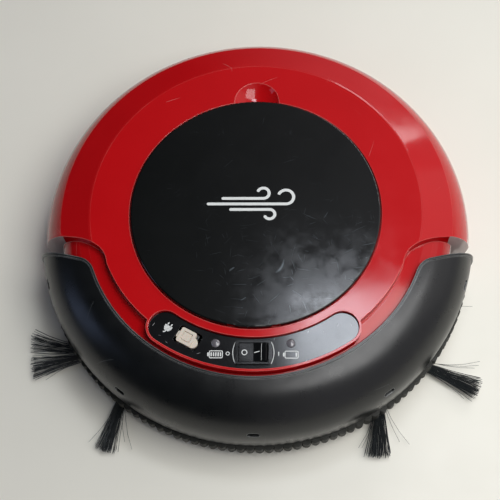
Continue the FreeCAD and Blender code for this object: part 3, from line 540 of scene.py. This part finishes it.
def switch_marks():
    joint = next(j for j in frame["joints"] if j["name"] == "rocker_tilt")
    px, py, pz = (v / MM for v in joint["pos_m"])
    slope = math.tan(math.radians(ROCKER_TILT))

    def face(x, y):
        return pz + ROCKER_FACE + max(0.0, x - px) * slope

    mesh = bmesh.new()
    ring(mesh, px - 5.2, py, 1.45, 0.5, face)
    stroke(mesh, [(px + 0.6, py - 0.2), (px + 3.4, py + 0.4)], 0.5, face)
    stroke(mesh, [(px + 4.7, py - 5.0), (px + 4.7, py + 5.0)], 0.16, face)
    piece("switch_printed_signs", mesh, "rocker", INK_FINISH)


# ---- side brushes ----
def fibre(mesh, points, radius):
    """One bristle: a four-sided tapering thread through points."""
    rows = []
    last = len(points) - 1
    for i, point in enumerate(points):
        after = points[min(i + 1, last)]
        before = points[max(i - 1, 0)]
        along = (after - before).normalized()
        side = along.cross(UP).normalized()
        rise = side.cross(along)
        r = radius * (1 - 0.35 * i / last)
        rows.append([mesh.verts.new(point + (side * dx + rise * dz) * r)
                     for dx, dz in ((1, 0), (0, 1), (-1, 0), (0, -1))])
    for a, b in zip(rows, rows[1:]):
        for k in range(4):
            j = (k + 1) % 4
            mesh.faces.new((a[k], a[j], b[j], b[k]))
    mesh.faces.new(rows[0][::-1])
    mesh.faces.new(rows[-1])


def brush(side):
    """The splayed tufts of one side brush, in place of the plain ones."""
    node = side + "_brush_bristles"
    lo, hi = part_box(node)
    centre = middle_of(side + "_brush_screw")
    low, high = lo.z / MM, hi.z / MM
    mesh = bmesh.new()

    def thread(angle, lateral, sweep, bend, reach, z0, z1, radius):
        points = []
        for i in range(FIBRE_STEPS + 1):
            t = i / FIBRE_STEPS
            r = BRUSH_ROOT + (reach - BRUSH_ROOT) * t
            a = math.radians(angle + sweep * t ** 0.8 + bend * t * t)
            x = centre.x + r * math.cos(a) - lateral * math.sin(a)
            y = centre.y + r * math.sin(a) + lateral * math.cos(a)
            points.append(Vector((x, y, z0 + (z1 - z0) * t)) * MM)
        fibre(mesh, points, radius * MM)

    for tuft in range(TUFTS):
        lean, before, after = TUFT_SET[side][tuft]
        angle = TUFT_PHASE[side] + tuft * 360 / TUFTS
        clumps = [(lean + random.uniform(-before, after), random.uniform(-1.8, 1.8))
                  for _ in range(CLUMPS)]
        for i in range(FIBRES):
            sweep, bend = clumps[i % CLUMPS]
            lateral = random.uniform(-1.7, 1.7)
            thread(angle, lateral, sweep + lateral * 0.5 + random.gauss(0, 0.5),
                   bend + random.gauss(0, 0.8), random.uniform(0.955, 1.0) * BRUSH_REACH,
                   random.uniform(low + 0.3, high - 0.2), random.uniform(low + 0.2, high - 0.2),
                   FIBRE_R)
        for _ in range(STRAYS):
            away = random.choice((-1, 1)) * random.uniform(5, 16)
            thread(angle, random.uniform(-1.5, 1.5), away * 0.4, away * 0.6,
                   random.uniform(0.86, 1.0) * BRUSH_REACH, random.uniform(low + 0.4, high - 0.4),
                   random.uniform(low + 0.2, high - 0.3), FIBRE_R * 0.8)
    tufts = piece(side + "_brush_tufts", mesh, side + "_side_brush", FINISHES["bristle_nylon"])
    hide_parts(node)


# ---- studio ----
def floor():
    mesh = bmesh.new()
    bmesh.ops.create_grid(mesh, x_segments=8, y_segments=8, size=2.0)
    data = bpy.data.meshes.new("floor")
    mesh.to_mesh(data)
    mesh.free()
    data.materials.append(matt_floor())
    plane = bpy.data.objects.new("floor", data)
    bpy.context.scene.collection.objects.link(plane)


def light(name, place, aim, size, watts, colour="#FFFFFF"):
    data = bpy.data.lights.new(name, "AREA")
    data.shape = "RECTANGLE"
    data.size, data.size_y = size
    data.energy = watts
    data.color = linear(colour)[:3]
    lamp = bpy.data.objects.new(name, data)
    lamp.location = place
    lamp.rotation_euler = (Vector(aim) - Vector(place)).to_track_quat("-Z", "Y").to_euler()
    bpy.context.scene.collection.objects.link(lamp)


def studio():
    light("softbox_window", (0.34, -0.14, 0.78), (0.34, -0.14, 0), (0.5, 0.54), 4.7, "#FBFBFA")
    light("window_glare", (0.12, 0.17, 0.79), (0.12, 0.17, 0), (0.19, 0.11), 0.85, "#EEF5FF")
    light("window_right", (1.1, 0.3, 0.8), (0, 0, 0.05), (1.1, 0.9), 1.1, "#FFFDF8")
    light("softbox_rear", (0.62, 1.15, 0.72), (0, 0, 0.05), (0.6, 0.3), 3.0)
    light("window_left", (-1.25, -0.25, 0.55), (0, 0, 0.03), (0.35, 0.7), 1.0, "#B4C8F5")
    world = bpy.data.worlds.new("studio")
    world.use_nodes = True
    tree = world.node_tree
    tree.nodes.clear()
    way = add(tree, "TexCoord", {}).outputs["Generated"]
    axes = add(tree, "SeparateXYZ", {}, {0: way})
    side = add(tree, "MapRange", {"interpolation_type": "SMOOTHSTEP", "From Min": -0.3,
                                  "From Max": 0.45}, {"Value": axes.outputs[0]})
    sky = add(tree, "Mix", {"data_type": "RGBA", 6: linear("#2A2D31"), 7: linear("#BDBABF")},
              {0: side.outputs[0]})
    back = add(tree, "Background", {"Strength": 1.02}, {"Color": sky.outputs[2]})
    add(tree, "OutputWorld", {}, {"Surface": back.outputs[0]})
    bpy.context.scene.world = world
    bpy.context.scene.view_settings.view_transform = "Standard"


def camera():
    """Looks down from in front, as a person standing over the robot would."""
    turn, tilt, roll = (math.radians(v) for v in (4.30, 64.94, -3.89))
    target = Vector((0, 0, 0.040))
    distance = 0.6458
    back = Vector((math.sin(turn) * math.cos(tilt), -math.cos(turn) * math.cos(tilt),
                   math.sin(tilt)))
    level = (-back).cross(UP).normalized()
    upright = level.cross(-back)
    right = level * math.cos(roll) + upright * math.sin(roll)
    over = upright * math.cos(roll) - level * math.sin(roll)
    data = bpy.data.cameras.new("camera")
    data.lens = 72
    data.sensor_width = 36
    data.shift_x = -0.0132
    data.shift_y = -0.048
    data.clip_start = 0.01
    view = bpy.data.objects.new("camera", data)
    axes = Matrix((right, over, back)).transposed().to_4x4()
    view.matrix_world = Matrix.Translation(target + back * distance) @ axes
    bpy.context.scene.collection.objects.link(view)
    bpy.context.scene.camera = view


camera()
studio()
floor()
dress_frame()
lid_mark()
panel_marks()
switch_marks()
brush("left")
brush("right")
